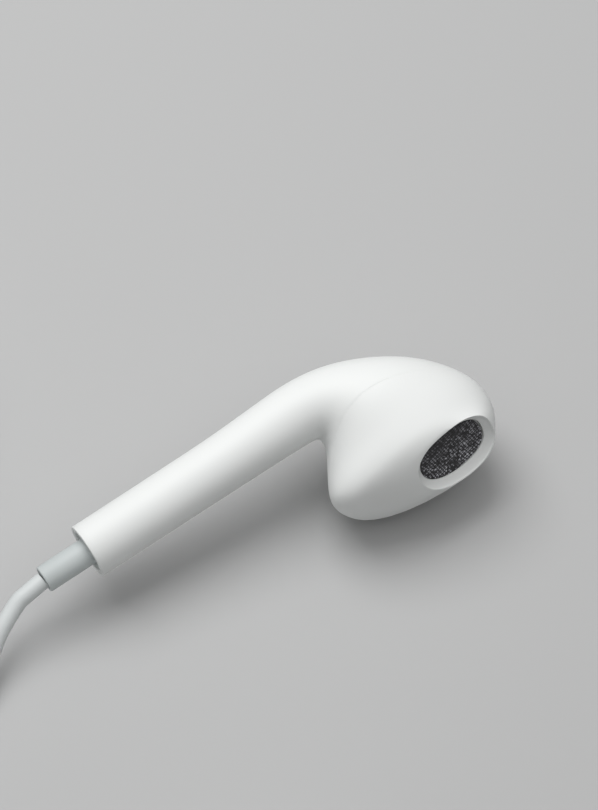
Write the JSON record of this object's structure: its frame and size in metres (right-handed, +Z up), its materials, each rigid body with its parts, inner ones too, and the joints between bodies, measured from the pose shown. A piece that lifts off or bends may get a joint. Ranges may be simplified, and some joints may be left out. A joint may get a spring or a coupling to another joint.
{
  "type": "wired earphones",
  "caption": "Wired open-fit earphones: glossy hollow earpieces on slim stems, thin cords that join after an in-line remote, and a round plug, all lying on a table.",
  "frame": {"origin": "on the table, under the middle of the box around the two earpieces", "axes": "+Z up from the table; -Y towards the viewer; +X to the viewer's right, the side the left earpiece's head points to"},
  "size_m": [0.0896, 0.0875, 0.0133],
  "materials": {
    "shell": "glossy white moulding",
    "mesh": "fine black woven mesh",
    "driver_frame": "satin black moulding",
    "steel": "plated steel",
    "magnet": "nickel plate",
    "copper": "enamelled copper wire",
    "film": "thin translucent film",
    "board": "solder mask",
    "wires": "enamelled strands",
    "relief": "soft satin moulding",
    "cord": "soft satin jacket",
    "tie": "soft strap",
    "button": "satin white",
    "contact": "polished plating",
    "insulator": "white rings"
  },
  "bodies": {
    "set": {"left_front_shell": "shell", "left_rear_shell": "shell", "left_nozzle_mesh": "mesh", "left_rear_vent_mesh": "mesh", "left_driver_frame": "driver_frame", "left_driver_yoke": "steel", "left_driver_top_plate": "steel", "left_driver_grille": "steel", "left_driver_magnet": "magnet", "left_surround": "film", "left_terminal_board": "board", "left_lead_wires": "wires", "left_strain_relief": "relief", "left_cord_anchor": "cord", "left_cord_start": "cord", "left_coil": "cord", "left_cord_end": "cord", "right_front_shell": "shell", "right_rear_shell": "shell", "right_nozzle_mesh": "mesh", "right_rear_vent_mesh": "mesh", "right_driver_frame": "driver_frame", "right_driver_yoke": "steel", "right_driver_top_plate": "steel", "right_driver_grille": "steel", "right_driver_magnet": "magnet", "right_surround": "film", "right_terminal_board": "board", "right_lead_wires": "wires", "right_strain_relief": "relief", "right_cord_anchor": "cord", "right_cord_start": "cord", "right_coil": "cord", "right_cord_end": "cord", "right_cord_middle": "cord", "main_cord_start": "cord", "main_coil": "cord", "main_cord_end": "cord", "coil_ties": "tie", "cord_join": "shell", "plug_body": "shell", "remote_front_shell": "shell", "remote_rear_shell": "shell", "remote_board": "board", "switch_domes": "steel", "microphone": "steel", "remote_reliefs": "relief", "plug_relief": "relief", "plug_ground": "contact", "plug_rings": "contact", "plug_tip": "contact", "plug_insulators": "insulator"},
    "left_cone": {"left_diaphragm": "film", "left_voice_coil": "copper"},
    "right_cone": {"right_diaphragm": "film", "right_voice_coil": "copper"},
    "volume_up": {"volume_up_button": "button"},
    "centre": {"centre_button": "button"},
    "volume_down": {"volume_down_button": "button"}
  },
  "joints": [
    {"name": "left_cone_slide", "type": "slide", "parent": "set", "child": "left_cone", "axis": [0.4717, -0.7887, 0.3942], "range_m": [-0.0002, 0.0002], "stiffness_N_per_m": 60},
    {"name": "right_cone_slide", "type": "slide", "parent": "set", "child": "right_cone", "axis": [-0.1123, 0.9121, 0.3942], "range_m": [-0.0002, 0.0002], "stiffness_N_per_m": 60},
    {"name": "volume_up_press", "type": "slide", "parent": "set", "child": "volume_up", "axis": [0, 0, -1], "range_m": [0, 0.0003], "stiffness_N_per_m": 5000},
    {"name": "centre_press", "type": "slide", "parent": "set", "child": "centre", "axis": [0, 0, -1], "range_m": [0, 0.0003], "stiffness_N_per_m": 5000},
    {"name": "volume_down_press", "type": "slide", "parent": "set", "child": "volume_down", "axis": [0, 0, -1], "range_m": [0, 0.0003], "stiffness_N_per_m": 5000}
  ]
}
